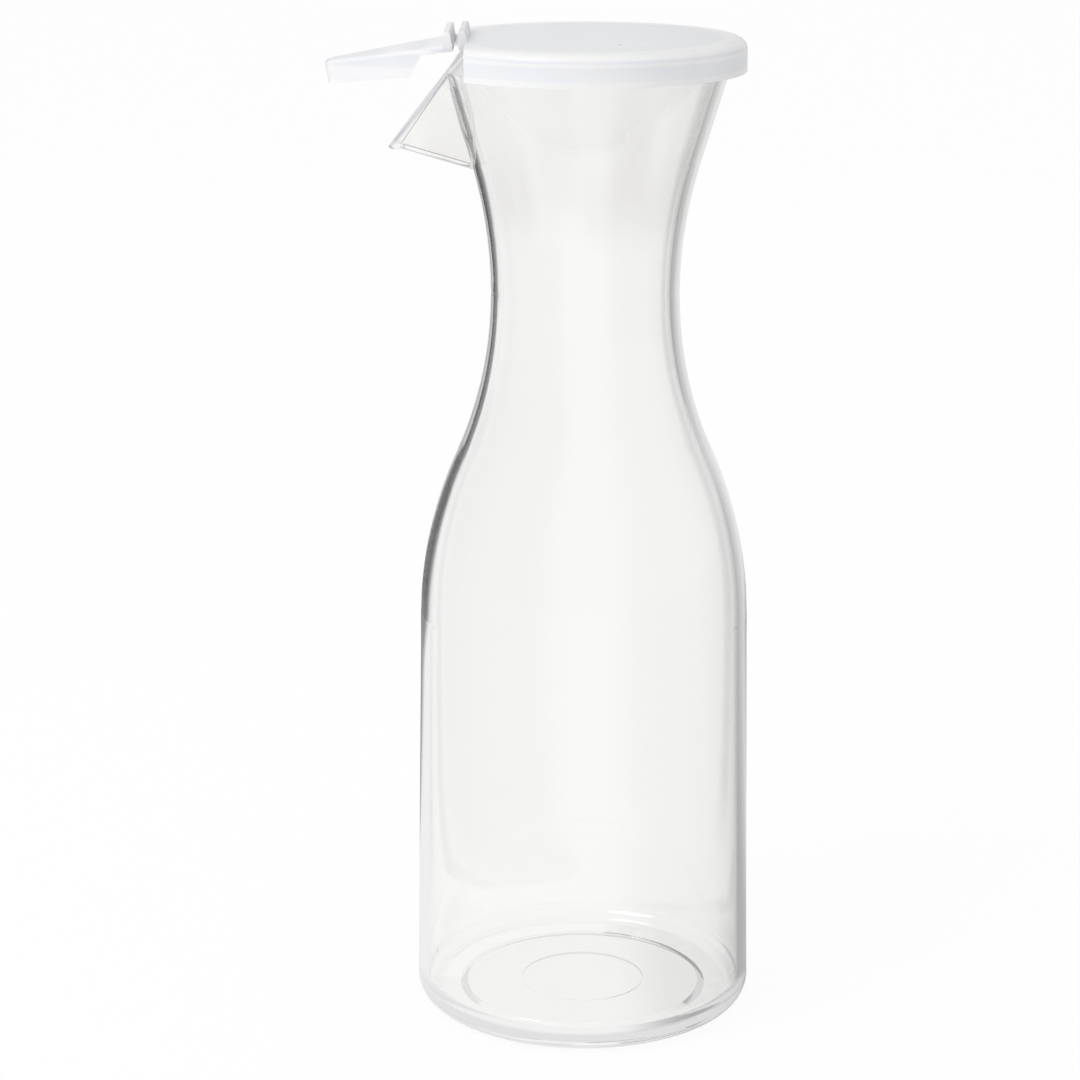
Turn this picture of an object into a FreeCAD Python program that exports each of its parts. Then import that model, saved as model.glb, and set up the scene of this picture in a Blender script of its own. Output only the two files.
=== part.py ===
import FreeCAD, Part
import math
import os

import Sketcher
from FreeCAD import Placement, Rotation, Vector

# A clear plastic serving carafe of about one litre with a press-on lid.
# The body is a tapered cylinder that narrows through an ogee shoulder to a slim waist and
# flares again to the rim. A V-shaped pouring beak grows out of the flared neck. The lid is
# one soft moulding whose spout flap hangs on a living hinge and is shown partly open.
#
# Millimetres. +Z is up, the beak points along -X, and the origin is the middle of the base.

doc = FreeCAD.newDocument("carafe")
dims = doc.addObject("Spreadsheet::Sheet", "dims")

SIZES = [
    ("wall", 2.5, "thickness of the carafe's side wall"),
    ("base_radius", 44.5, "outer radius at the foot"),
    ("body_taper", 1.66, "how much smaller the radius is at the shoulder"),
    ("foot_radius", 6.0, "rounding between the foot and the side"),
    ("stand_width", 5.5, "width of the flat ring it stands on"),
    ("push_up", 1.8, "depth of the hollow under the base"),
    ("gate_radius", 16.4, "radius of the shallow round step under the base"),
    ("gate_depth", 0.6, "depth of that step"),
    ("floor_thickness", 2.6, "thickness of the floor above the hollow"),
    ("floor_radius", 4.3, "rounding between the floor and the side, inside"),
    ("body_height", 107.2, "height of the straight side"),
    ("shoulder_rise", 85.1, "from the top of the straight side to the waist"),
    ("neck_rise", 62.6, "from the waist to the rim"),
    ("waist_radius", 24.2, "outer radius at the narrowest place"),
    ("waist_lower_arc", 102.7, "radius of the curve under the waist"),
    ("flare_straight", 25.0, "length of the straight end of the flare over the waist"),
    ("rim_radius", 38.6, "outer radius of the rim's flange"),
    ("flange_depth", 5.3, "height of the rim's flange"),
    ("rim_wall", 3.0, "thickness of the rim at its top"),
    ("flange_overhang", 2.2, "how far the flange stands out from the neck below it"),
    ("rim_edge_radius", 0.5, "rounding of the rim's edges"),
    ("lip_setback", 9.1, "from the rim's outside in to where the slanted lip starts"),
    ("beak_overhang", 11.1, "from the rim's outside out to the beak's tip"),
    ("beak_drop", 25.2, "from the rim down to the beak's tip"),
    ("beak_rise", 16.3, "slope of the beak's keel, degrees"),
    ("beak_half_angle", 20.0, "half the angle between the beak's sides, degrees"),
    ("beak_wall", 1.6, "thickness of the beak's sides"),
    ("keel_radius", 2.4, "outer rounding of the keel"),
    ("lip_flange", 0.6, "how far the lip's flange stands out from the beak's sides"),
    ("lip_band", 2.5, "thickness of the lip's flange"),
    ("tip_depth", 0.9, "how far the beak's flat tip lies under the end of the lip"),
    ("lid_thickness", 2.0, "thickness of the lid's disc"),
    ("lid_edge_radius", 2.7, "rounding of the lid's top edge"),
    ("skirt_wall", 1.6, "thickness of the lid's skirt"),
    ("snap_bead", 0.6, "how far the bead in the skirt grips under the flange"),
    ("bead_height", 0.8, "height of the bead in the skirt"),
    ("fit_gap", 0.3, "clearance between the lid and the rim"),
    ("seal_inset", 4.6, "from the rim's outside in to the seal ring's outside"),
    ("seal_wall", 1.2, "thickness of the seal ring"),
    ("seal_depth", 3.5, "depth of the seal ring"),
    ("hinge_setback", 6.3, "from the rim's outside in to the hinge line"),
    ("hinge_lift", 1.3, "height of the hinge line over the rim"),
    ("hinge_width", 25.0, "length of the hinge line"),
    ("tongue_length", 1.8, "how far the lid reaches past its straight edge to the hinge"),
    ("web_thickness", 0.6, "thickness of the living hinge"),
    ("hinge_gap", 0.3, "running gap at the living hinge"),
    ("fin_offset", 0.8, "from the hinge line to each finger fin"),
    ("fin_height", 3.4, "height of the fins over the hinge line"),
    ("fin_base", 2.4, "thickness of a fin at its foot"),
    ("fin_edge_radius", 0.6, "rounding of the fins' top edges"),
    ("flap_edge_radius", 1.2, "rounding of the flap's top edge"),
    ("flap_skirt_radius", 1.5, "rounding at both ends of the side walls' slanted start"),
    ("fin_top", 1.6, "thickness of a fin at its top"),
    ("rest_droop", 9.0, "slope of the flap as it rests, degrees"),
    ("flap_top", 0.3, "height of the flap's top face over the hinge line"),
    ("flap_plate", 1.75, "thickness of the flap's plate"),
    ("flap_wall", 1.1, "thickness of the flap's side walls"),
    ("flap_side_gap", 0.45, "clearance between the shut flap and the beak's lip"),
    ("flap_tip_gap", 0.9, "clearance past the beak's tip when the flap is shut"),
    ("flap_skirt", 5.0, "depth of the flap's side walls under its plate"),
    ("flap_skirt_start", 8.9, "from the hinge line to where the side walls start"),
    ("flap_skirt_slant", 3.8, "how far the side walls' back edge slants"),
    ("flap_skirt_rise", 1.1, "how much shallower the side walls are at the tip"),
]

for row, (alias, number, note) in enumerate(SIZES, start=1):
    dims.set("A%d" % row, alias)
    dims.set("B%d" % row, str(number))
    dims.set("C%d" % row, note)
    dims.setAlias("B%d" % row, alias)
doc.recompute()


def named(text):
    """An expression in the sheet's words, with each word pointed at the sheet."""
    for alias, number, note in sorted(SIZES, key=lambda entry: -len(entry[0])):
        text = text.replace("{%s}" % alias, "dims.%s" % alias)
    return text


def size(expression):
    """The present value of an expression, for placing a sketch's first geometry."""
    found = dims.evalExpression(expression)
    return float(getattr(found, "Value", found))


# Lengths and angles that follow from the sheet, each written once.
BODY_TOP_RADIUS = named("({base_radius} - {body_taper})")
WAIST_HEIGHT = named("({body_height} + {shoulder_rise})")
RIM_HEIGHT = named("({body_height} + {shoulder_rise} + {neck_rise})")
FLANGE_BOTTOM = "(%s - dims.flange_depth)" % RIM_HEIGHT
NECK_TOP_RADIUS = named("({rim_radius} - {flange_overhang})")
TIP_REACH = named("({rim_radius} + {beak_overhang})")
TIP_HEIGHT = "(%s - dims.beak_drop)" % RIM_HEIGHT
STAND_INNER = named("({base_radius} - {foot_radius} - {stand_width})")
FLARE_REACH = "(%s - dims.waist_radius)" % NECK_TOP_RADIUS
FLARE_CLIMB = "(dims.neck_rise - dims.flange_depth)"
WAIST_UPPER_ARC = "((%s^2 + %s^2 - dims.flare_straight^2) / (2 * %s))" % (
    FLARE_REACH, FLARE_CLIMB, FLARE_REACH)
LIP_RUN = named("({lip_setback} + {beak_overhang})")
LIP_SLOPE = "(atan2(dims.beak_drop; %s) / 1 deg)" % LIP_RUN
LIP_LENGTH = "sqrt(%s^2 + dims.beak_drop^2)" % LIP_RUN
LIP_TO_KEEL = "(%s + dims.beak_rise)" % LIP_SLOPE
BEAK_ROOT = named("({waist_radius} - 2 * {wall})")
KEEL_LENGTH = "((%s - %s) / cos(dims.beak_rise))" % (TIP_REACH, BEAK_ROOT)
LIP_SPREAD = "(atan(sin(%s) * tan(dims.beak_half_angle)) / 1 deg)" % LIP_TO_KEEL
LIP_HALF_AT_TIP = named("({keel_radius} * (1 / sin({beak_half_angle}) - 1) * tan({beak_half_angle}))")
HINGE_REACH = named("({rim_radius} - {hinge_setback})")
HINGE_HEIGHT = "(%s + dims.hinge_lift)" % RIM_HEIGHT
TIP_FROM_HINGE = ("sqrt((dims.hinge_setback + dims.beak_overhang)^2"
                  " + (dims.beak_drop + dims.hinge_lift)^2)")
SKIRT_INNER = named("({rim_radius} + {fit_gap})")
LID_RADIUS = "(%s + dims.skirt_wall)" % SKIRT_INNER
LID_TOP = "(%s + dims.lid_thickness)" % RIM_HEIGHT
SKIRT_END = "(%s - dims.bead_height)" % FLANGE_BOTTOM
CHORD = "(%s - dims.fin_offset - dims.tongue_length)" % HINGE_REACH

START, END, CENTRE = 1, 2, 3
TOUCH = 0.001
ORIGIN_POINT = (-1, 1)


class Outline:
    """A closed sketch: its elements in order round the outline, tied to the sheet."""

    def __init__(self, body, name, role):
        self.sketch = body.newObject("Sketcher::SketchObject", name)
        plane = [p for p in body.Origin.OriginFeatures if p.Role == role][0]
        self.sketch.AttachmentSupport = [(plane, "")]
        self.sketch.MapMode = "FlatFace"
        self.ends = []

    def line(self, start, end):
        segment = Part.LineSegment(Vector(start[0], start[1], 0), Vector(end[0], end[1], 0))
        index = self.sketch.addGeometry(segment, False)
        self.ends.append((index, START, END))
        return index

    def arc(self, centre, radius, first, last):
        """An arc from one angle to another in degrees; it runs clockwise if last < first."""
        circle = Part.Circle(Vector(centre[0], centre[1], 0), Vector(0, 0, 1), radius)
        low, high = math.radians(min(first, last)), math.radians(max(first, last))
        index = self.sketch.addGeometry(Part.ArcOfCircle(circle, low, high), False)
        turned = last < first
        self.ends.append((index, END if turned else START, START if turned else END))
        return index

    def path(self, points):
        """Straight lines through the points, and the index of each line."""
        return [self.line(a, b) for a, b in zip(points, points[1:])]

    def close(self, smooth=()):
        """Join the elements end to end, smoothly after each index named in smooth."""
        following = self.ends[1:] + self.ends[:1]
        for (index, _, leaving), (after, arriving, _) in zip(self.ends, following):
            kind = "Tangent" if index in smooth else "Coincident"
            self.rule(kind, index, leaving, after, arriving)

    def rule(self, *terms):
        return self.sketch.addConstraint(Sketcher.Constraint(*terms))

    def level(self, *lines):
        for index in lines:
            self.rule("Horizontal", index)

    def upright(self, *lines):
        for index in lines:
            self.rule("Vertical", index)

    def bind(self, expression, kind, *terms):
        """A dimension whose value is the expression."""
        index = self.rule(kind, *terms, size(expression))
        self.sketch.setExpression("Constraints[%d]" % index, expression)

    def across(self, element, point, expression):
        """The point's distance from the sketch's vertical axis."""
        self.bind(expression, "DistanceX", *ORIGIN_POINT, element, point)

    def above(self, element, point, expression):
        """The point's distance from the sketch's horizontal axis."""
        self.bind(expression, "DistanceY", *ORIGIN_POINT, element, point)

    def on_axis(self, element, point):
        self.rule("PointOnObject", element, point, -2)


def tilt(sketch, across, along, angle):
    """Move a sketch on the YZ plane out along X and up Z, and turn it about Y."""
    sketch.AttachmentOffset = Placement(Vector(0, 0, 0), Rotation(Vector(1, 0, 0), size(angle)))
    sketch.setExpression("AttachmentOffset.Base.z", across)
    sketch.setExpression("AttachmentOffset.Base.y", along)
    sketch.setExpression("AttachmentOffset.Rotation.Angle", angle)


def feature(body, kind, name, outline, **settings):
    """A sketch-based feature of a body; text settings are expressions."""
    made = body.newObject("PartDesign::" + kind, name)
    made.Profile = outline.sketch
    if kind in ("Revolution", "Groove"):
        made.ReferenceAxis = (outline.sketch, ["V_Axis"])
        made.Angle = 360.0
    for key, value in settings.items():
        if isinstance(value, str):
            made.setExpression(key, value)
        else:
            setattr(made, key, value)
    doc.recompute()
    return made


def rounded(body, name, radius, wanted):
    """Round the edges of a body that the test picks out."""
    base = body.Tip
    picked = ["Edge%d" % number for number, edge in enumerate(base.Shape.Edges, 1) if wanted(edge)]
    made = body.newObject("PartDesign::Fillet", name)
    made.Base = (base, picked)
    made.setExpression("Radius", radius)
    doc.recompute()
    return made


def within(edge, axis, low, high):
    """Whether an edge lies between two places along an axis."""
    box = edge.BoundBox
    found = {"x": (box.XMin, box.XMax), "y": (box.YMin, box.YMax), "z": (box.ZMin, box.ZMax)}[axis]
    return low - TOUCH < found[0] and found[1] < high + TOUCH


def runs_along_y(edge, across, above):
    """Whether an edge is the straight one that passes through a place in the XZ plane."""
    return within(edge, "x", across, across) and within(edge, "z", above, above)


def wall_curves(outline, inset, bottom, corner_expression):
    """The side from the foot's rounding to the flange: taper, shoulder, waist and flare.

    inset is how far the curve lies inside the outer surface, as an expression, so the
    outer and the inner surface come from the same sizes.
    """
    top_radius = "(%s - %s)" % (BODY_TOP_RADIUS, inset)
    waist = "(dims.waist_radius - %s)" % inset
    lower_arc = "(dims.waist_lower_arc + %s)" % inset
    upper_arc = "(%s + %s)" % (WAIST_UPPER_ARC, inset)
    neck_top = "(%s - %s)" % (NECK_TOP_RADIUS, inset)

    corner = size(corner_expression)
    r_base, r_top = size("dims.base_radius - %s" % inset), size(top_radius)
    z_top, z_waist, z_neck = size("dims.body_height"), size(WAIST_HEIGHT), size(FLANGE_BOTTOM)
    r_waist, low, high = size(waist), size(lower_arc), size(upper_arc)
    z_bottom = size(bottom)

    # The shoulder's arc touches both the side and the curve under the waist.
    span = r_waist + low - r_top
    rise = z_waist - z_top
    bend = (span ** 2 + rise ** 2 - low ** 2) / (2 * (low - span))
    turn = math.degrees(math.atan2(rise, span + bend))
    # The flare is a straight line that touches the curve over the waist.
    reach = size(neck_top) - (r_waist + high)
    climb = z_neck - z_waist
    flare = math.degrees(math.asin(high / math.hypot(reach, climb)) - math.atan2(-reach, climb))
    touch = (r_waist + high - high * math.cos(math.radians(flare)),
             z_waist + high * math.sin(math.radians(flare)))

    foot = outline.arc((r_base - corner, z_bottom + corner), corner, -90, 0)
    side = outline.line((r_base, z_bottom + corner), (r_top, z_top))
    shoulder = outline.arc((r_top - bend, z_top), bend, 0, turn)
    under = outline.arc((r_waist + low, z_waist), low, 180 + turn, 180)
    over = outline.arc((r_waist + high, z_waist), high, 180, 180 - flare)
    neck = outline.line(touch, (size(neck_top), z_neck))

    outline.bind(corner_expression, "Radius", foot)
    outline.across(side, START, "dims.base_radius - %s" % inset)
    outline.across(side, END, top_radius)
    outline.above(side, END, "dims.body_height")
    outline.bind(lower_arc, "Radius", under)
    outline.bind(upper_arc, "Radius", over)
    outline.above(under, CENTRE, WAIST_HEIGHT)
    outline.above(over, CENTRE, WAIST_HEIGHT)
    outline.across(over, END, waist)
    outline.across(neck, END, neck_top)
    outline.above(neck, END, FLANGE_BOTTOM)
    return foot, side, shoulder, under, over, neck


def beak_section(body, name, shrink, height):
    """The beak's V section square to its keel; shrink is the wall taken off it."""
    half = size("dims.beak_half_angle")
    radius_expression = "(dims.keel_radius - %s)" % shrink
    radius = size(radius_expression)
    middle = size("dims.keel_radius")
    top = size(height)
    cosine, sine = math.cos(math.radians(half)), math.sin(math.radians(half))
    foot = (radius * cosine, middle - radius * sine)
    spread = foot[0] + (top - foot[1]) * math.tan(math.radians(half))

    outline = Outline(body, name, "YZ_Plane")
    keel = outline.arc((0, middle), radius, 180 + half, 360 - half)
    right = outline.line(foot, (spread, top))
    outline.line((spread, top), (-spread, top))
    left = outline.line((-spread, top), (-foot[0], foot[1]))
    outline.close(smooth=(keel, left))
    outline.on_axis(keel, CENTRE)
    outline.above(keel, CENTRE, "dims.keel_radius")
    outline.bind(radius_expression, "Radius", keel)
    outline.above(right, END, height)
    outline.bind("90 - dims.beak_half_angle", "Angle", right)
    outline.rule("Symmetric", right, END, left, START, -2)
    tilt(outline.sketch, "-%s" % BEAK_ROOT,
         "%s - %s * sin(dims.beak_rise)" % (TIP_HEIGHT, KEEL_LENGTH), "dims.beak_rise")
    return outline


# The carafe: one clear moulding.
carafe = doc.addObject("PartDesign::Body", "carafe")

outer = Outline(carafe, "outer_profile", "XZ_Plane")
gate_top = size("dims.push_up + dims.gate_depth")
hollow_edge = size("%s - dims.push_up" % STAND_INNER)
gate, step, hollow, ramp, stand = outer.path([
    (0, gate_top),
    (size("dims.gate_radius"), gate_top),
    (size("dims.gate_radius"), size("dims.push_up")),
    (hollow_edge, size("dims.push_up")),
    (size(STAND_INNER), 0),
    (size("dims.base_radius - dims.foot_radius"), 0),
])
foot, side, shoulder, under, over, neck = wall_curves(outer, "0", "0", "dims.foot_radius")
flange, rim_side, rim_top, axis = outer.path([
    (size(NECK_TOP_RADIUS), size(FLANGE_BOTTOM)),
    (size("dims.rim_radius"), size(FLANGE_BOTTOM)),
    (size("dims.rim_radius"), size(RIM_HEIGHT)),
    (0, size(RIM_HEIGHT)),
    (0, gate_top),
])
outer.close(smooth=(stand, foot, side, shoulder, under, over))
outer.level(gate, hollow, stand, flange, rim_top)
outer.upright(step, rim_side, axis)
outer.on_axis(gate, START)
outer.above(gate, START, "dims.push_up + dims.gate_depth")
outer.across(gate, END, "dims.gate_radius")
outer.above(hollow, START, "dims.push_up")
outer.across(hollow, END, "%s - dims.push_up" % STAND_INNER)
outer.across(stand, START, STAND_INNER)
outer.rule("PointOnObject", stand, START, -1)
outer.across(rim_side, START, "dims.rim_radius")
outer.above(rim_side, END, RIM_HEIGHT)
feature(carafe, "Revolution", "outside", outer)

# The flange round the lip lies in the slanted plane of the lip.
lip = Outline(carafe, "lip_outline", "YZ_Plane")
spread = math.radians(size(LIP_SPREAD))
LIP_NOSE = "(dims.keel_radius + dims.lip_flange)"
LIP_HALF = "(%s + dims.lip_flange / cos(%s))" % (LIP_HALF_AT_TIP, LIP_SPREAD)
NOSE_CENTRE = "(%s / sin(%s) - %s / tan(%s))" % (LIP_NOSE, LIP_SPREAD, LIP_HALF, LIP_SPREAD)
nose_radius = size(LIP_NOSE)
nose_centre = size(NOSE_CENTRE)
lip_length = size(LIP_LENGTH)
lip_corner = (nose_radius * math.cos(spread), nose_centre - nose_radius * math.sin(spread))
lip_half = size(LIP_HALF) + lip_length * math.tan(spread)
nose = lip.arc((0, nose_centre), nose_radius, 180 + math.degrees(spread), 360 - math.degrees(spread))
lip_right = lip.line(lip_corner, (lip_half, lip_length))
lip.line((lip_half, lip_length), (-lip_half, lip_length))
lip_left = lip.line((-lip_half, lip_length), (-lip_corner[0], lip_corner[1]))
lip.close(smooth=(nose, lip_left))
lip.on_axis(nose, CENTRE)
lip.above(nose, CENTRE, NOSE_CENTRE)
lip.bind(LIP_NOSE, "Radius", nose)
lip.above(lip_right, END, LIP_LENGTH)
lip.bind("90 - %s" % LIP_SPREAD, "Angle", lip_right)
lip.rule("Symmetric", lip_right, END, lip_left, START, -2)
tilt(lip.sketch, "-%s" % TIP_REACH, TIP_HEIGHT, "90 - %s" % LIP_SLOPE)
feature(carafe, "Pad", "lip_flange", lip, Length="dims.lip_band")

# The beak runs out along its keel and is cut off by the plane of the lip.
BEAK_DEPTH = "dims.beak_drop"
beak = beak_section(carafe, "beak_section", "0", BEAK_DEPTH)
feature(carafe, "Pad", "beak", beak, Length="%s + dims.keel_radius" % KEEL_LENGTH, Reversed=True)

mouth = Outline(carafe, "lip_cut", "XZ_Plane")
past = size("%s + dims.beak_drop" % TIP_REACH)
over_rim = size("%s + dims.wall" % RIM_HEIGHT)
lip_start = size("dims.rim_radius - dims.lip_setback")
tip = (-size(TIP_REACH), size(TIP_HEIGHT))
slant, up, top, end, foot_line = mouth.path([
    tip,
    (-lip_start, size(RIM_HEIGHT)),
    (-lip_start, over_rim),
    (-past, over_rim),
    (-past, tip[1]),
    tip,
])
mouth.close()
mouth.level(top, foot_line)
mouth.upright(up, end)
mouth.across(slant, START, "-%s" % TIP_REACH)
mouth.above(slant, START, TIP_HEIGHT)
mouth.across(slant, END, "-(dims.rim_radius - dims.lip_setback)")
mouth.above(slant, END, RIM_HEIGHT)
mouth.above(top, START, "%s + dims.wall" % RIM_HEIGHT)
mouth.across(end, START, "-(%s + dims.beak_drop)" % TIP_REACH)
feature(carafe, "Pocket", "lip_opening", mouth, Length="4 * dims.rim_radius", Midplane=True)

# The tip is cut level a little under the end of the lip.
trim = Outline(carafe, "tip_trim_profile", "XZ_Plane")
TRIM_TOP = "(%s - dims.tip_depth)" % TIP_HEIGHT
TRIM_BOTTOM = "(%s - 2 * dims.lip_band)" % TRIM_TOP
TRIM_LEFT = "-(%s + dims.lip_band)" % TIP_REACH
TRIM_RIGHT = "-(%s - dims.tip_depth / tan(dims.beak_rise))" % TIP_REACH
trim_top, trim_right, trim_bottom, trim_left = trim.path([
    (size(TRIM_LEFT), size(TRIM_TOP)),
    (size(TRIM_RIGHT), size(TRIM_TOP)),
    (size(TRIM_RIGHT), size(TRIM_BOTTOM)),
    (size(TRIM_LEFT), size(TRIM_BOTTOM)),
    (size(TRIM_LEFT), size(TRIM_TOP)),
])
trim.close()
trim.level(trim_top, trim_bottom)
trim.upright(trim_left, trim_right)
trim.above(trim_top, START, TRIM_TOP)
trim.across(trim_top, END, TRIM_RIGHT)
trim.above(trim_bottom, START, TRIM_BOTTOM)
trim.across(trim_bottom, END, TRIM_LEFT)
feature(carafe, "Pocket", "tip_trim", trim, Length="2 * dims.rim_radius", Midplane=True)

channel = beak_section(carafe, "channel_section", "dims.beak_wall", BEAK_DEPTH)
feature(carafe, "Pocket", "channel", channel, Length="%s + dims.keel_radius" % KEEL_LENGTH)

inner = Outline(carafe, "inner_profile", "XZ_Plane")
FLOOR_HEIGHT = "(dims.push_up + dims.floor_thickness)"
floor = inner.line((0, size(FLOOR_HEIGHT)),
                   (size("dims.base_radius - dims.wall - dims.floor_radius"), size(FLOOR_HEIGHT)))
foot, side, shoulder, under, over, neck = wall_curves(inner, "dims.wall", FLOOR_HEIGHT,
                                                      "dims.floor_radius")
RIM_BORE = "(dims.rim_radius - dims.rim_wall)"
flare, rim_level, axis = inner.path([
    (size("%s - dims.wall" % NECK_TOP_RADIUS), size(FLANGE_BOTTOM)),
    (size(RIM_BORE), size(RIM_HEIGHT)),
    (0, size(RIM_HEIGHT)),
    (0, size(FLOOR_HEIGHT)),
])
inner.close(smooth=(floor, foot, side, shoulder, under, over))
inner.level(floor, rim_level)
inner.upright(axis)
inner.on_axis(floor, START)
inner.above(floor, START, FLOOR_HEIGHT)
inner.across(flare, END, RIM_BORE)
inner.above(flare, END, RIM_HEIGHT)
feature(carafe, "Groove", "inside", inner)

rim_reach = size("dims.rim_radius")
flange_bottom, rim_top_height = size(FLANGE_BOTTOM), size(RIM_HEIGHT)
rounded(carafe, "rim_rounding", "dims.rim_edge_radius", lambda edge: (
    edge.Curve.TypeId == "Part::GeomCircle"
    and (within(edge, "z", rim_top_height, rim_top_height)
         or within(edge, "z", flange_bottom, flange_bottom) and edge.Curve.Radius > rim_reach - TOUCH)))

# The lid: a disc with a rounded edge, a press-on skirt and a seal ring, cut straight
# across over the beak, with a short tongue that carries the hinge and one finger fin.
lid = doc.addObject("PartDesign::Body", "lid")
cap = Outline(lid, "lid_profile", "XZ_Plane")
SEAL_OUTER = "(dims.rim_radius - dims.seal_inset)"
SEAL_INNER = "(%s - dims.seal_wall)" % SEAL_OUTER
BEAD_RADIUS = "(%s - dims.snap_bead)" % SKIRT_INNER
edge = size("dims.lid_edge_radius")
z_under, z_end, z_top = size(RIM_HEIGHT), size(SKIRT_END), size(LID_TOP)
z_seal = z_under - size("dims.seal_depth")
z_bead = z_end + size("dims.bead_height")
r_seal, r_seal_in, r_bead = size(SEAL_OUTER), size(SEAL_INNER), size(BEAD_RADIUS)
r_skirt, r_lid = size(SKIRT_INNER), size(LID_RADIUS)
under_lid, ring_in, ring_end, ring_out, ledge, skirt_in, bead_top, bead, skirt_end, skirt_out = cap.path([
    (0, z_under),
    (r_seal_in, z_under),
    (r_seal_in, z_seal),
    (r_seal, z_seal),
    (r_seal, z_under),
    (r_skirt, z_under),
    (r_skirt, z_bead + (r_skirt - r_bead) / 2),
    (r_bead, z_bead - (r_skirt - r_bead) / 2),
    (r_bead, z_end),
    (r_lid, z_end),
    (r_lid, z_top - edge),
])
rounding = cap.arc((r_lid - edge, z_top - edge), edge, 0, 90)
disc, lid_axis = cap.path([(r_lid - edge, z_top), (0, z_top), (0, z_under)])
cap.close(smooth=(skirt_out, rounding))
cap.level(under_lid, ring_end, ledge, skirt_end, disc)
cap.upright(ring_in, ring_out, skirt_in, bead, skirt_out, lid_axis)
cap.on_axis(under_lid, START)
cap.above(under_lid, START, RIM_HEIGHT)
cap.across(ring_in, START, SEAL_INNER)
cap.across(ring_out, START, SEAL_OUTER)
cap.above(ring_end, START, "%s - dims.seal_depth" % RIM_HEIGHT)
cap.rule("Horizontal", ring_out, END, under_lid, START)
cap.across(skirt_in, START, SKIRT_INNER)
cap.above(skirt_in, END, "%s + dims.bead_height + dims.snap_bead / 2" % SKIRT_END)
cap.above(bead, START, "%s + dims.bead_height - dims.snap_bead / 2" % SKIRT_END)
cap.across(bead, START, BEAD_RADIUS)
cap.above(skirt_end, START, SKIRT_END)
cap.across(skirt_out, START, LID_RADIUS)
cap.bind("dims.lid_edge_radius", "Radius", rounding)
cap.above(disc, START, LID_TOP)
feature(lid, "Revolution", "cap", cap)

half_hinge = size("dims.hinge_width / 2")
hinge_x, chord = size(HINGE_REACH), size(CHORD)
far = size("%s + dims.wall" % LID_RADIUS)
TONGUE_END = "(%s - dims.fin_offset)" % HINGE_REACH
tongue_end = size(TONGUE_END)


def beyond_chord(name, tongue):
    """The part of the lid past its straight edge, less the tongue if there is one."""
    cut = Outline(lid, name, "XY_Plane")
    near, far_side = (-chord, -far), (-chord, far)
    points = [near, far_side, (-far, far), (-far, -far), near]
    if tongue:
        points[1:1] = [(-chord, -half_hinge), (-tongue_end, -half_hinge),
                       (-tongue_end, half_hinge), (-chord, half_hinge)]
    lines = cut.path(points)
    cut.close()
    cut.upright(*lines[0:-3:2], lines[-2])
    cut.level(*lines[1:-3:2], lines[-3], lines[-1])
    cut.across(lines[0], START, "-%s" % CHORD)
    cut.across(lines[-2], START, "-(%s + dims.wall)" % LID_RADIUS)
    cut.above(lines[0], START, "-(%s + dims.wall)" % LID_RADIUS)
    cut.above(lines[-3], START, "%s + dims.wall" % LID_RADIUS)
    if tongue:
        cut.above(lines[0], END, "-dims.hinge_width / 2")
        cut.above(lines[2], END, "dims.hinge_width / 2")
        cut.across(lines[2], START, "-%s" % TONGUE_END)
        cut.across(lines[4], START, "-%s" % CHORD)
    return cut


feature(lid, "Pocket", "straight_edge", beyond_chord("straight_edge_outline", True),
        Length="2 * %s" % LID_TOP, Midplane=True)
feature(lid, "Pocket", "spout_gap", beyond_chord("spout_gap_outline", False),
        Length=RIM_HEIGHT, Reversed=True)


def side_profile(body, name, corners):
    """A many-sided profile in the XZ plane with every corner tied to the sheet."""
    profile = Outline(body, name, "XZ_Plane")
    places = [(size(across), size(above)) for across, above in corners]
    lines = profile.path(places + places[:1])
    profile.close()
    for index, (across, above) in zip(lines, corners):
        profile.across(index, START, across)
        profile.above(index, START, above)
    return profile


HALF_WEB = "(dims.web_thickness / 2)"
FIN_FOOT = "(%s + dims.lid_thickness / 2)" % RIM_HEIGHT
FIN_TIP = "(%s + dims.fin_height)" % HINGE_HEIGHT
lid_fin = side_profile(lid, "lid_fin_profile", [
    ("-%s" % TONGUE_END, FIN_FOOT),
    ("-%s" % TONGUE_END, FIN_TIP),
    ("-(%s - dims.fin_top)" % TONGUE_END, FIN_TIP),
    ("-(%s - dims.fin_base)" % TONGUE_END, FIN_FOOT),
])
feature(lid, "Pad", "lid_fin", lid_fin, Length="dims.hinge_width", Midplane=True)

fin_tip = size(FIN_TIP)
rounded(lid, "lid_fin_rounding", "dims.fin_edge_radius", lambda edge: within(edge, "z", fin_tip, fin_tip))

# The living hinge: a thin web that ends in a rounded edge on the hinge line.
web = Outline(lid, "hinge_web_profile", "XZ_Plane")
hinge_z, half_web = size(HINGE_HEIGHT), size(HALF_WEB)
web_root = tongue_end - size("dims.fin_offset / 2")
web_under = web.line((-web_root, hinge_z - half_web), (-hinge_x, hinge_z - half_web))
web_end = web.arc((-hinge_x, hinge_z), half_web, 270, 90)
web_over = web.line((-hinge_x, hinge_z + half_web), (-web_root, hinge_z + half_web))
web_close = web.line((-web_root, hinge_z + half_web), (-web_root, hinge_z - half_web))
web.close(smooth=(web_under, web_end))
web.level(web_under, web_over)
web.upright(web_close)
web.bind(HALF_WEB, "Radius", web_end)
web.across(web_end, CENTRE, "-%s" % HINGE_REACH)
web.above(web_end, CENTRE, HINGE_HEIGHT)
web.across(web_close, START, "-(%s - dims.fin_offset / 2)" % TONGUE_END)
feature(lid, "Pad", "hinge_web", web, Length="dims.hinge_width", Midplane=True)

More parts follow.
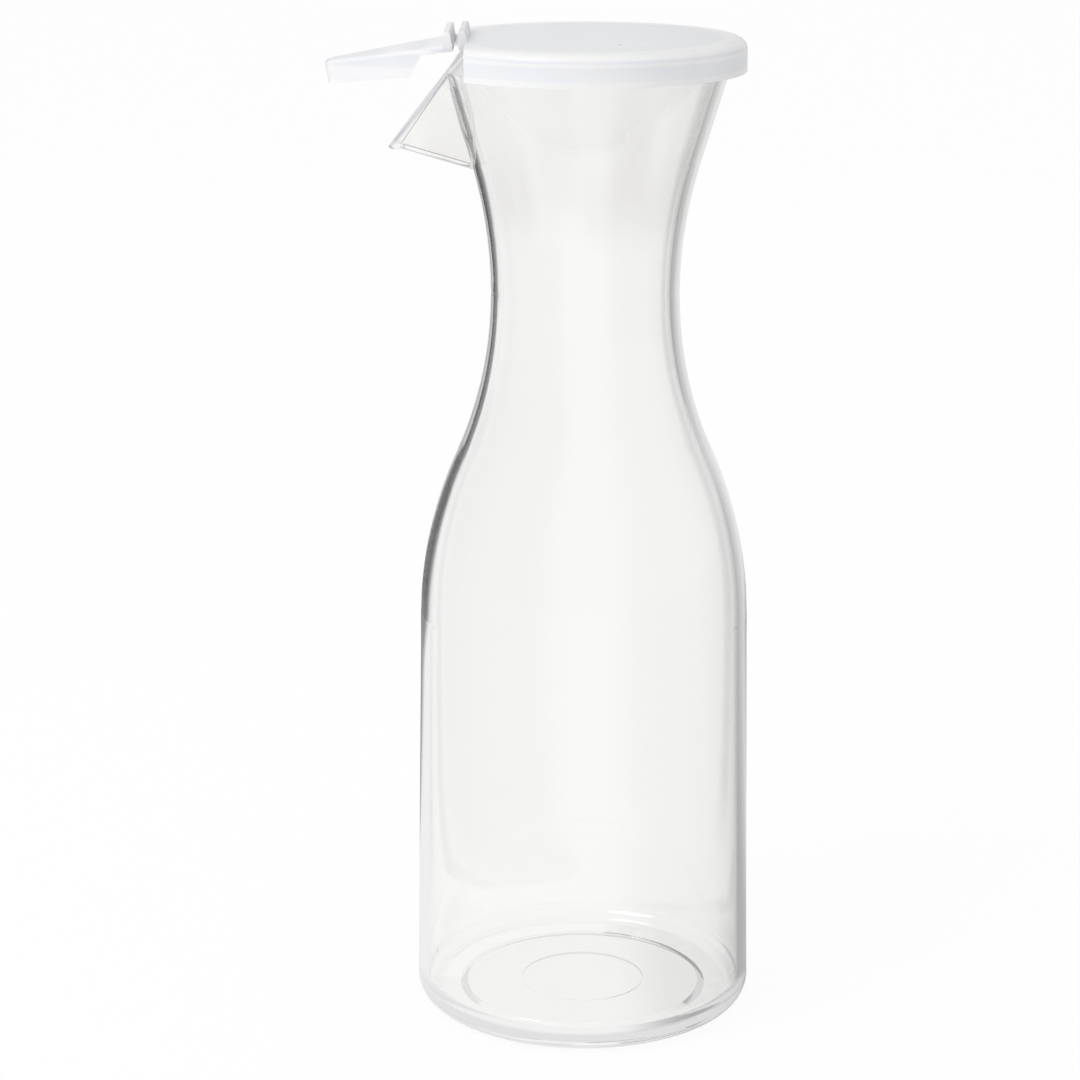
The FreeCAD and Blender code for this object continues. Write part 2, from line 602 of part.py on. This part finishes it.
# The spout flap, in its own frame: the hinge line is Y, and the flap runs out along -X.
flap = doc.addObject("PartDesign::Body", "spout_flap")
FLAP_LENGTH = "(%s + dims.flap_tip_gap + dims.flap_wall)" % TIP_FROM_HINGE
FLAP_START = "(dims.fin_offset + dims.hinge_gap / 3)"
PLATE_UNDER = "(dims.flap_top - dims.flap_plate)"
SKIRT_UNDER = "(%s - dims.flap_skirt)" % PLATE_UNDER
FLAP_HALF = "(%s + (dims.lip_flange + dims.flap_side_gap + %s) / cos(%s))"


def flap_outline(name, height, shell):
    """The flap from above; shell is the wall outside the line that clears the beak's lip."""
    outline = Outline(flap, name, "XY_Plane")
    half_at_tip = FLAP_HALF % (LIP_HALF_AT_TIP, shell, LIP_SPREAD)
    inset = "(dims.flap_wall - %s)" % shell
    past_tip = "(dims.flap_tip_gap + %s)" % shell
    nose = "((%s - %s * tan(%s)) / (1 / cos(%s) - tan(%s)))" % (
        half_at_tip, past_tip, LIP_SPREAD, LIP_SPREAD, LIP_SPREAD)
    length = "(%s - %s)" % (FLAP_LENGTH, inset)
    root_half = "(dims.hinge_width / 2 - %s)" % inset
    start = "(%s + %s)" % (FLAP_START, inset)

    slope = math.radians(size(LIP_SPREAD))
    radius, reach = size(nose), size(length)
    middle = (-(reach - radius), 0)
    touch = (middle[0] - radius * math.sin(slope), radius * math.cos(slope))
    half, back = size(root_half), -size(start)
    turn = touch[0] + (half - touch[1]) / math.tan(slope)
    slant = math.degrees(slope)
    rear = outline.line((back, half), (back, -half))
    near_root = outline.line((back, -half), (turn, -half))
    near_side = outline.line((turn, -half), (touch[0], -touch[1]))
    tip = outline.arc(middle, radius, 270 - slant, 90 + slant)
    far_side = outline.line(touch, (turn, half))
    far_root = outline.line((turn, half), (back, half))
    outline.close(smooth=(near_side, tip))
    outline.upright(rear)
    outline.level(near_root, far_root)
    outline.across(rear, START, "-%s" % start)
    outline.above(rear, START, root_half)
    outline.above(rear, END, "-%s" % root_half)
    outline.bind(nose, "Radius", tip)
    outline.across(tip, CENTRE, "-(%s - %s)" % (length, nose))
    outline.rule("PointOnObject", tip, CENTRE, -1)
    outline.bind(LIP_SPREAD, "Angle", far_side)
    outline.rule("Vertical", near_side, START, far_side, END)
    outline.sketch.setExpression("AttachmentOffset.Base.z", height)
    return outline


feature(flap, "Pad", "flap_block", flap_outline("flap_plan", SKIRT_UNDER, "dims.flap_wall"),
        Length="dims.flap_plate + dims.flap_skirt")
flap_top, flap_back = size("dims.flap_top"), -size(FLAP_START)
rounded(flap, "flap_edge_rounding", "dims.flap_edge_radius", lambda edge: (
    within(edge, "z", flap_top, flap_top) and not within(edge, "x", flap_back, flap_back)))
feature(flap, "Pocket", "flap_hollow", flap_outline("hollow_plan", PLATE_UNDER, "0"),
        Length="2 * dims.flap_skirt")

# The side walls start behind a slanted edge and get a little shallower towards the tip.
WALL_START = "-dims.flap_skirt_start"
WALL_FULL = "-(dims.flap_skirt_start + dims.flap_skirt_slant)"
PAST_TIP = "-(%s + dims.flap_wall)" % FLAP_LENGTH
BELOW = "(%s - dims.flap_wall)" % SKIRT_UNDER
walls = side_profile(flap, "wall_cut_profile", [
    ("dims.flap_wall", PLATE_UNDER),
    (WALL_START, PLATE_UNDER),
    (WALL_FULL, SKIRT_UNDER),
    (PAST_TIP, "(%s + dims.flap_skirt_rise)" % SKIRT_UNDER),
    (PAST_TIP, BELOW),
    ("dims.flap_wall", BELOW),
])
feature(flap, "Pocket", "wall_cut", walls, Length="2 * dims.hinge_width", Midplane=True)

wall_start = (size(WALL_START), size(PLATE_UNDER))
wall_full = (size(WALL_FULL), size(SKIRT_UNDER))
rounded(flap, "wall_start_rounding", "dims.flap_skirt_radius", lambda edge: (
    runs_along_y(edge, *wall_start) or runs_along_y(edge, *wall_full)))

FLAP_WEB = "(%s + dims.hinge_gap)" % HALF_WEB
flap_web = side_profile(flap, "flap_web_profile", [
    ("-%s" % FLAP_WEB, HALF_WEB),
    ("-%s" % FLAP_WEB, "-%s" % HALF_WEB),
    ("-(%s + dims.flap_wall)" % FLAP_START, "-%s" % HALF_WEB),
    ("-(%s + dims.flap_wall)" % FLAP_START, HALF_WEB),
])
feature(flap, "Pad", "flap_web", flap_web, Length="dims.hinge_width", Midplane=True)

flap_fin = side_profile(flap, "flap_fin_profile", [
    ("-%s" % FLAP_START, "(dims.flap_top - dims.flap_plate / 2)"),
    ("-%s" % FLAP_START, "dims.fin_height"),
    ("-(%s + dims.fin_top)" % FLAP_START, "dims.fin_height"),
    ("-(%s + dims.fin_base)" % FLAP_START, "(dims.flap_top - dims.flap_plate / 2)"),
])
feature(flap, "Pad", "flap_fin", flap_fin, Length="dims.hinge_width", Midplane=True)
flap_fin_tip = size("dims.fin_height")
rounded(flap, "flap_fin_rounding", "dims.fin_edge_radius",
        lambda edge: within(edge, "z", flap_fin_tip, flap_fin_tip))

flap.Placement = Placement(Vector(0, 0, 0), Rotation(Vector(0, -1, 0), size("dims.rest_droop")))
flap.setExpression("Placement.Base.x", "-%s" % HINGE_REACH)
flap.setExpression("Placement.Base.z", HINGE_HEIGHT)
flap.setExpression("Placement.Rotation.Angle", "dims.rest_droop")
doc.recompute()

pieces = [carafe, lid, flap]
for item in doc.Objects:
    if "Invalid" in item.State or "Error" in item.State:
        raise RuntimeError("%s did not compute: %s" % (item.Name, item.State))
for piece in pieces:
    if piece.Shape.isNull() or not piece.Shape.isValid() or len(piece.Shape.Solids) != 1:
        raise RuntimeError("%s is not one valid solid" % piece.Label)

os.makedirs("parts", exist_ok=True)
for piece in pieces:
    piece.Shape.exportStep("parts/%s.step" % piece.Label)
    print("%-12s %9.1f mm3" % (piece.Label, piece.Shape.Volume))
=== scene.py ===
"""Clear pouring carafe with a press-fit lid and a hinged spout flap: looks, light and camera."""

import math

import bmesh
import bpy
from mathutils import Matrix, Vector


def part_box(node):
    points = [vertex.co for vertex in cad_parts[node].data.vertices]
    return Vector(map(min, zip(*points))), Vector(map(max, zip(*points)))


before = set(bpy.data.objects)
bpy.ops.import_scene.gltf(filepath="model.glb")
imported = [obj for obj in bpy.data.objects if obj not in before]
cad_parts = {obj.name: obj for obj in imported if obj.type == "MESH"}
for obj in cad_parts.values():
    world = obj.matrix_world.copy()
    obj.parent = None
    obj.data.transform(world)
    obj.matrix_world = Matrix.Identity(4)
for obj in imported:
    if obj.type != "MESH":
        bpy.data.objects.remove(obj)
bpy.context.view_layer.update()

MM = 0.001
WHITE = (1.0, 1.0, 1.0, 1.0)

# Where the camera stands in the carafe's own frame, in metres, and how it is turned, in degrees.
CAMERA_PLACE = (0.0, -0.7816, 0.3400)
CAMERA_PITCH = 15.3
CAMERA_YAW = 0.845
CAMERA_LENS = 103.2
CAMERA_SENSOR = 36.0
CAMERA_NEAREST, CAMERA_FURTHEST = 0.05, 20.0

FLOOR_SIZE = 6.0

# One square softbox lights the plastic from the front, the left and above.
KEY_PLACE, KEY_TARGET = (-0.7, -0.6, 1.1), (0.0, 0.0, 0.12)
KEY_SIZE, KEY_POWER = 0.6, 6.0

# The lid's underside rests on the rim. The beak's lip lies in a slanted plane, which is this far
# from the axis at the rim's height, and which faces this way along x and z, out of the beak.
RIM_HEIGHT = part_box("carafe")[1][2]
LIP_REACH = 29.5 * MM
LIP_FACING = (-0.780, 0.625)


class Wire:
    """A socket that carries a number, so that shader maths reads as a plain expression."""

    def __init__(self, finish, socket):
        self.finish, self.socket = finish, socket

    def _maths(self, operation, *values):
        return self.finish.add("ShaderNodeMath", {"operation": operation}, *values)

    def __add__(self, other):
        return self._maths("ADD", self, other)

    def __sub__(self, other):
        return self._maths("SUBTRACT", self, other)

    def __rsub__(self, other):
        return self._maths("SUBTRACT", other, self)

    def __mul__(self, other):
        return self._maths("MULTIPLY", self, other)

    __radd__ = __add__
    __rmul__ = __mul__

    def other(self, name):
        """Another output of the node that this one comes from."""
        return Wire(self.finish, self.socket.node.outputs[name])


class Finish:
    """One material, or the world, built from nodes."""

    def __init__(self, owner, output):
        owner.use_nodes = True
        self.owner, self.tree = owner, owner.node_tree
        self.tree.nodes.clear()
        self.output = self.tree.nodes.new(output)

    def add(self, kind, settings=None, *values, out=None, **named):
        """A node of that kind. Its settings are set first, then the values or wires of its
        sockets, in the order of those in use or by name. It gives the output named by out."""
        node = self.tree.nodes.new(kind)
        for name, value in (settings or {}).items():
            setattr(node, name, value)
        for socket, value in zip(self._in_use(node.inputs), values):
            self._plug(socket, value)
        for name, value in named.items():
            self._plug(node.inputs[name.replace("_", " ")], value)
        return Wire(self, node.outputs[out] if out else self._in_use(node.outputs)[0])

    def _in_use(self, sockets):
        return [socket for socket in sockets if socket.enabled]

    def _plug(self, socket, value):
        if isinstance(value, Wire):
            self.tree.links.new(value.socket, socket)
        else:
            socket.default_value = value

    def surface(self, wire):
        """Ends the tree with this shader, and gives the material or the world itself."""
        self.tree.links.new(wire.socket, self.output.inputs["Surface"])
        return self.owner

    def light_path(self, name):
        return self.add("ShaderNodeLightPath", out=name)

    def seen(self):
        """1 for what the camera sees directly, in a reflection or through the clear wall."""
        rays = self.light_path("Is Camera Ray") + self.light_path("Is Glossy Ray")
        rays = rays + self.light_path("Is Transmission Ray")
        return self.add("ShaderNodeClamp", None, rays, 0.0, 1.0)

    def mirrored(self):
        """1 for what shows in a reflection, also in one inside the clear wall."""
        return self.add("ShaderNodeClamp", None, self.light_path("Glossy Depth"), 0.0, 1.0)

    def fade(self, value, edge):
        """0 before a soft edge, 1 after it, and a smooth change between its start and its end."""
        return self.add("ShaderNodeMapRange", {"interpolation_type": "SMOOTHSTEP"}, value, *edge)

    def between(self, value, one_edge, other_edge):
        """1 between two soft edges and 0 outside them."""
        return self.fade(value, one_edge) * self.fade(value, other_edge)

    def mix(self, share, first, second):
        """A colour between two, each a wire or three numbers."""
        ends = [(*end, 1.0) if isinstance(end, tuple) else end for end in (first, second)]
        return self.add("ShaderNodeMix", {"data_type": "RGBA"}, share, *ends)


def new_material(name):
    return Finish(bpy.data.materials.new(name), "ShaderNodeOutputMaterial")


# --- finishes -------------------------------------------------------------------------------
# From here on, a pair of numbers is a soft edge: where it starts, and where it is complete.

# The clear plastic. Its flow lines are drawn out upwards: their scales are along x, y and z.
CLEAR_TONE, CLEAR_IOR = (0.985, 0.985, 0.98), 1.58
CLEAR_ROUGHNESS, FLOW_ROUGHNESS = 0.005, 0.02
FLOW_SCALE = (60.0, 60.0, 7.0)
FLOW_STRENGTH, FLOW_DEPTH = 0.1, 0.4 * MM

# Grey streaks of painted reflection start at the foot of the flared neck, and are strongest in a
# band across it.
REFLECTION_STREAK_TONE, STREAK_SCALE = (0.93, 0.925, 0.915), (75.0, 75.0, 2.5)
STREAK_EDGE, STREAKS_START = (0.35, 0.65), (0.202, 0.214)
BAND_FOOT, BAND_HEAD = (0.208, 0.215), (0.234, 0.222)
STREAK_SHARE, BAND_SHARE = 0.6, 0.4

# The bead along the beak's lip has painted shade: it is greyer. Its edge is measured from the
# lip's plane.
LIP_SHADE_TONE, LIP_EDGE = (0.72, 0.715, 0.75), (-1.3 * MM, -0.5 * MM)

# Light that has been reflected more often than this is trapped in the wall.
TRAPPED_AFTER, TRAPPED_GLOW = 1.5, 0.75


def clear_polycarbonate():
    """Polished clear plastic with faint flow lines, and soft grey streaks of painted reflection
    up the flared neck.
    """
    finish = new_material("clear_polycarbonate")
    place = finish.add("ShaderNodeTexCoord", out="Object")
    across = finish.add("ShaderNodeSeparateXYZ", None, place, out="X")
    height = across.other("Z")

    along = finish.add("ShaderNodeMapping", None, place, Scale=FLOW_SCALE)
    flow = finish.add("ShaderNodeTexNoise", None, Vector=along, Scale=1.0, Detail=0.0)
    ripple = finish.add(
        "ShaderNodeBump", None, Height=flow, Strength=FLOW_STRENGTH, Distance=FLOW_DEPTH)

    along = finish.add("ShaderNodeMapping", None, place, Scale=STREAK_SCALE)
    lines = finish.add("ShaderNodeTexNoise", None, Vector=along, Scale=1.0, Detail=1.0)
    # Painted reflection: grey streaks up the flared neck, strongest in a band across it.
    painted_reflection = finish.fade(lines, STREAK_EDGE) * finish.fade(height, STREAKS_START)
    painted_reflection = painted_reflection * (STREAK_SHARE + finish.between(height, BAND_FOOT, BAND_HEAD) * BAND_SHARE)
    colour = finish.mix(painted_reflection, CLEAR_TONE, REFLECTION_STREAK_TONE)

    # Painted shade along the bead of the beak's lip.
    over_lip = (across + LIP_REACH) * LIP_FACING[0] + (height - RIM_HEIGHT) * LIP_FACING[1]
    colour = finish.mix(finish.fade(over_lip, LIP_EDGE), colour, LIP_SHADE_TONE)
    plastic = finish.add(
        "ShaderNodeBsdfPrincipled", None, Base_Color=colour, IOR=CLEAR_IOR, Normal=ripple,
        Roughness=flow * FLOW_ROUGHNESS + CLEAR_ROUGHNESS, Transmission_Weight=1.0)

    # Painted light: trapped light comes out as a pale glow, an emission of the wall itself.
    reflections = finish.light_path("Glossy Depth")
    trapped = finish.add(
        "ShaderNodeMath", {"operation": "GREATER_THAN"}, reflections, TRAPPED_AFTER)
    glow = finish.add("ShaderNodeEmission", None, WHITE, TRAPPED_GLOW)
    return finish.surface(finish.add("ShaderNodeMixShader", None, trapped, plastic, glow))


# The soft plastic of the lid and the flap, in its thin places and in its thick ones, which are
# also painted lighter where the rim lies under them.
LID_THIN, LID_THICK_AND_LIT = (0.885, 0.895, 0.91), (0.985, 0.985, 0.985)
FLAP_THIN, FLAP_THICK = (0.98, 0.975, 0.99), (0.985, 0.98, 0.995)
MILKY_IOR, MILKY_TRANSMISSION = 1.51, 0.25
MILKY_ROUGHNESS, CLOUD_ROUGHNESS = 0.25, 0.1
CLOUD_SCALE, GRAIN_SCALE = 90.0, 700.0
GRAIN_STRENGTH, GRAIN_DEPTH = 0.08, 0.05 * MM

# It is thick from this radius outwards, give or take what the clouds shift that edge, and there
# it is painted lighter too, for the rim under it.
THICK_EDGE, CLOUD_SHIFT = (33 * MM, 36 * MM), 2 * MM

# A cooler grey shows in the clouds, and as painted shade at the seam over the rim and in a wide
# band of the skirt.
CLOUD_AND_SHADE_TONE = (0.87, 0.885, 0.92)
CLOUD_EDGE, CLOUD_SHARE = (0.4, 0.6), 0.15
SEAM_FOOT = (RIM_HEIGHT - 0.6 * MM, RIM_HEIGHT - 0.1 * MM)
SEAM_HEAD = (RIM_HEIGHT + 0.6 * MM, RIM_HEIGHT + 0.1 * MM)
SKIRT_FOOT = (RIM_HEIGHT - 5.1 * MM, RIM_HEIGHT - 4.3 * MM)
SKIRT_HEAD = (RIM_HEIGHT - 1.0 * MM, RIM_HEIGHT - 1.5 * MM)
SEAM_SHADE_SHARE, SKIRT_SHADE_SHARE = 0.8, 0.6


def milky_polyethylene(name, thin, thick):
    """Soft natural polyethylene, whiter over the rim and in the skirt than in the thin disc,
    partly by painted light; painted shade greys the seam and a band of the skirt.
    """
    finish = new_material(name)
    place = finish.add("ShaderNodeTexCoord", out="Object")
    height = finish.add("ShaderNodeSeparateXYZ", None, place, out="Z")
    flat = finish.add("ShaderNodeVectorMath", {"operation": "MULTIPLY"}, place, (1.0, 1.0, 0.0))
    radius = finish.add("ShaderNodeVectorMath", {"operation": "LENGTH"}, flat)

    cloud = finish.add("ShaderNodeTexNoise", None, Vector=place, Scale=CLOUD_SCALE, Detail=2.0)
    grain = finish.add("ShaderNodeTexNoise", None, Vector=place, Scale=GRAIN_SCALE, Detail=1.0)
    satin = finish.add(
        "ShaderNodeBump", None, Height=grain, Strength=GRAIN_STRENGTH, Distance=GRAIN_DEPTH)

    # Partly painted light: lighter from this radius out, as thicker plastic and for the rim under
    # it.
    thick_and_lit = finish.fade(radius + (cloud - 0.5) * CLOUD_SHIFT, THICK_EDGE)
    colour = finish.mix(thick_and_lit, thin, thick)
    # Painted shade: the seam over the rim and a wide band of the skirt are greyer.
    seam = finish.between(height, SEAM_FOOT, SEAM_HEAD)
    skirt = finish.between(height, SKIRT_FOOT, SKIRT_HEAD)
    cloud_and_shade = thick_and_lit * (seam * SEAM_SHADE_SHARE + skirt * SKIRT_SHADE_SHARE)
    cloud_and_shade = cloud_and_shade + finish.fade(cloud, CLOUD_EDGE) * CLOUD_SHARE
    colour = finish.mix(cloud_and_shade, colour, CLOUD_AND_SHADE_TONE)
    return finish.surface(finish.add(
        "ShaderNodeBsdfPrincipled", None, Base_Color=colour, IOR=MILKY_IOR, Normal=satin,
        Roughness=cloud * CLOUD_ROUGHNESS + MILKY_ROUGHNESS,
        Transmission_Weight=MILKY_TRANSMISSION))


# --- pieces ---------------------------------------------------------------------------------


def dress(node, material):
    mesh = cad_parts[node].data
    for index in range(len(mesh.materials)):
        mesh.materials[index] = material


dress("carafe", clear_polycarbonate())
dress("lid", milky_polyethylene("milky_polyethylene", LID_THIN, LID_THICK_AND_LIT))
dress("spout_flap", milky_polyethylene("flap_polyethylene", FLAP_THIN, FLAP_THICK))


# --- stage ----------------------------------------------------------------------------------
# The clear wall mirrors a pale room, which is darker in two places behind the carafe, on the
# left and on the right, and along the whole right side. Their inner and outer edges are
# bearings: how far to the right a place lies, from -1 to 1, as seen from the carafe. BEHIND is
# the same measure to the back. On the floor, a distance is from the axis, in metres.

BEHIND, RIGHT_SIDE = (0.1, 0.4), (0.2, 0.8)

# The floor's own tone, the share of it that shows plain white, and how bright it is mirrored.
FLOOR_TONE, FLOOR_WHITE = (0.95, 0.95, 0.95, 1.0), 0.93
FLOOR_MIRROR, FLOOR_SIDE_DARK = 0.9, 0.6

# The left place on the floor: its edges move outwards further off, where it is also darker.
LEFT_INNER, LEFT_INNER_EDGE = -0.18, (0.0, -0.06)
LEFT_INNER_MOVE, LEFT_INNER_MOVES = -0.1, (0.35, 0.7)
LEFT_OUTER, LEFT_OUTER_EDGE = -0.44, (-0.12, 0.0)
LEFT_OUTER_MOVE, LEFT_OUTER_MOVES = -0.15, (0.3, 0.42)
LEFT_DARK, LEFT_STARTS = 0.75, (0.06, 0.15)
LEFT_DARKER, LEFT_DARKENS = 0.22, (0.3, 0.45)

# The right place on the floor: near the carafe it lies further out, and is darker.
RIGHT_NEAR = (0.6, 0.35)
RIGHT_INNER_MOVE, RIGHT_INNER_EDGE = 0.12, (0.05, 0.09)
RIGHT_OUTER_MOVE, RIGHT_OUTER_EDGE = 0.2, (0.26, 0.18)
RIGHT_DARK, RIGHT_DARKER = 0.3, 0.35

# The same places in the room, above the floor. The left one ends at its top.
ROOM_MIRROR, ROOM_SIDE_DARK = 0.85, 0.4
ROOM_LEFT_INNER, ROOM_LEFT_OUTER = (-0.14, -0.2), (-0.7, -0.55)
ROOM_LEFT_DARK, ROOM_LEFT_TOP = 0.97, (0.7, 0.3)
ROOM_RIGHT_INNER, ROOM_RIGHT_OUTER = (0.02, 0.06), (0.26, 0.16)
ROOM_RIGHT_DARK = 0.3
CEILING, CEILING_DARK = (0.15, 0.9), 0.25


def floor_finish():
    """A white floor that keeps a soft shadow, and is darker in places where it is mirrored."""
    finish = new_material("white_floor")
    place = finish.add("ShaderNodeTexCoord", out="Object")
    distance = finish.add("ShaderNodeVectorMath", {"operation": "LENGTH"}, place)
    bearing = finish.add("ShaderNodeVectorMath", {"operation": "NORMALIZE"}, place)
    across = finish.add("ShaderNodeSeparateXYZ", None, bearing, out="X")
    behind = finish.fade(across.other("Y"), BEHIND)

    inner = finish.fade(distance, LEFT_INNER_MOVES) * LEFT_INNER_MOVE + LEFT_INNER
    outer = finish.fade(distance, LEFT_OUTER_MOVES) * LEFT_OUTER_MOVE + LEFT_OUTER
    left = finish.fade(across - inner, LEFT_INNER_EDGE)
    left = left * finish.fade(across - outer, LEFT_OUTER_EDGE) * behind
    darkness = finish.fade(distance, LEFT_STARTS) * LEFT_DARK
    darkness = darkness + finish.fade(distance, LEFT_DARKENS) * LEFT_DARKER
    left = left * darkness

    near = finish.fade(distance, RIGHT_NEAR)
    right = finish.fade(across - near * RIGHT_INNER_MOVE, RIGHT_INNER_EDGE)
    right = right * finish.fade(across - near * RIGHT_OUTER_MOVE, RIGHT_OUTER_EDGE) * behind
    right = right * (RIGHT_DARK + near * RIGHT_DARKER)

    side = finish.fade(across, RIGHT_SIDE) * FLOOR_SIDE_DARK
    bright = (1.0 - left) * (1.0 - right) * (1.0 - side) * FLOOR_MIRROR
    paper = finish.add("ShaderNodeBsdfDiffuse", None, FLOOR_TONE)
    glow = finish.add("ShaderNodeEmission", None, WHITE, 1.0)
    mirror = finish.add("ShaderNodeEmission", None, bright, 1.0)
    floor = finish.add("ShaderNodeMixShader", None, finish.seen() * FLOOR_WHITE, paper, glow)
    return finish.surface(
        finish.add("ShaderNodeMixShader", None, finish.mirrored(), floor, mirror))


def make_floor():
    form = bmesh.new()
    bmesh.ops.create_grid(form, x_segments=1, y_segments=1, size=FLOOR_SIZE / 2)
    mesh = bpy.data.meshes.new("floor")
    form.to_mesh(mesh)
    form.free()
    floor = bpy.data.objects.new("floor", mesh)
    bpy.context.scene.collection.objects.link(floor)
    mesh.materials.append(floor_finish())


def softbox(name, place, target, size, power):
    lamp = bpy.data.lights.new(name, "AREA")
    lamp.shape, lamp.size, lamp.energy = "SQUARE", size, power
    holder = bpy.data.objects.new(name, lamp)
    holder.location = place
    holder.rotation_mode = "QUATERNION"
    holder.rotation_quaternion = (Vector(target) - Vector(place)).to_track_quat("-Z", "Y")
    holder.visible_glossy = False
    bpy.context.scene.collection.objects.link(holder)


def make_world():
    """Soft room light, a little less from the ceiling, and a backdrop that shows white."""
    world = Finish(bpy.data.worlds.new("studio"), "ShaderNodeOutputWorld")
    direction = world.add("ShaderNodeTexCoord", out="Generated")
    across = world.add("ShaderNodeSeparateXYZ", None, direction, out="X")
    up, behind = across.other("Z"), world.fade(across.other("Y"), BEHIND)

    left = world.between(across, ROOM_LEFT_INNER, ROOM_LEFT_OUTER) * behind
    left = left * world.fade(up, ROOM_LEFT_TOP) * ROOM_LEFT_DARK
    right = world.between(across, ROOM_RIGHT_INNER, ROOM_RIGHT_OUTER) * behind * ROOM_RIGHT_DARK
    bright = (1.0 - left) * (1.0 - right)
    bright = bright * (ROOM_MIRROR - world.fade(across, RIGHT_SIDE) * ROOM_SIDE_DARK)

    ceiling = 1.0 - world.fade(up, CEILING) * CEILING_DARK
    room = world.add("ShaderNodeBackground", None, ceiling, 1.0)
    backdrop = world.add("ShaderNodeBackground", None, WHITE, 1.0)
    mirror = world.add("ShaderNodeBackground", None, bright, 1.0)
    light = world.add("ShaderNodeMixShader", None, world.seen(), room, backdrop)
    bpy.context.scene.world = world.surface(
        world.add("ShaderNodeMixShader", None, world.mirrored(), light, mirror))


def make_camera():
    lens = bpy.data.cameras.new("camera")
    lens.lens, lens.sensor_width, lens.sensor_fit = CAMERA_LENS, CAMERA_SENSOR, "HORIZONTAL"
    lens.clip_start, lens.clip_end = CAMERA_NEAREST, CAMERA_FURTHEST
    camera = bpy.data.objects.new("camera", lens)
    camera.location = CAMERA_PLACE
    camera.rotation_euler = (math.radians(90 - CAMERA_PITCH), 0.0, math.radians(CAMERA_YAW))
    bpy.context.scene.collection.objects.link(camera)
    bpy.context.scene.camera = camera


make_floor()
make_world()
make_camera()
softbox("key", KEY_PLACE, KEY_TARGET, KEY_SIZE, KEY_POWER)
bpy.context.scene.view_settings.view_transform = "Standard"
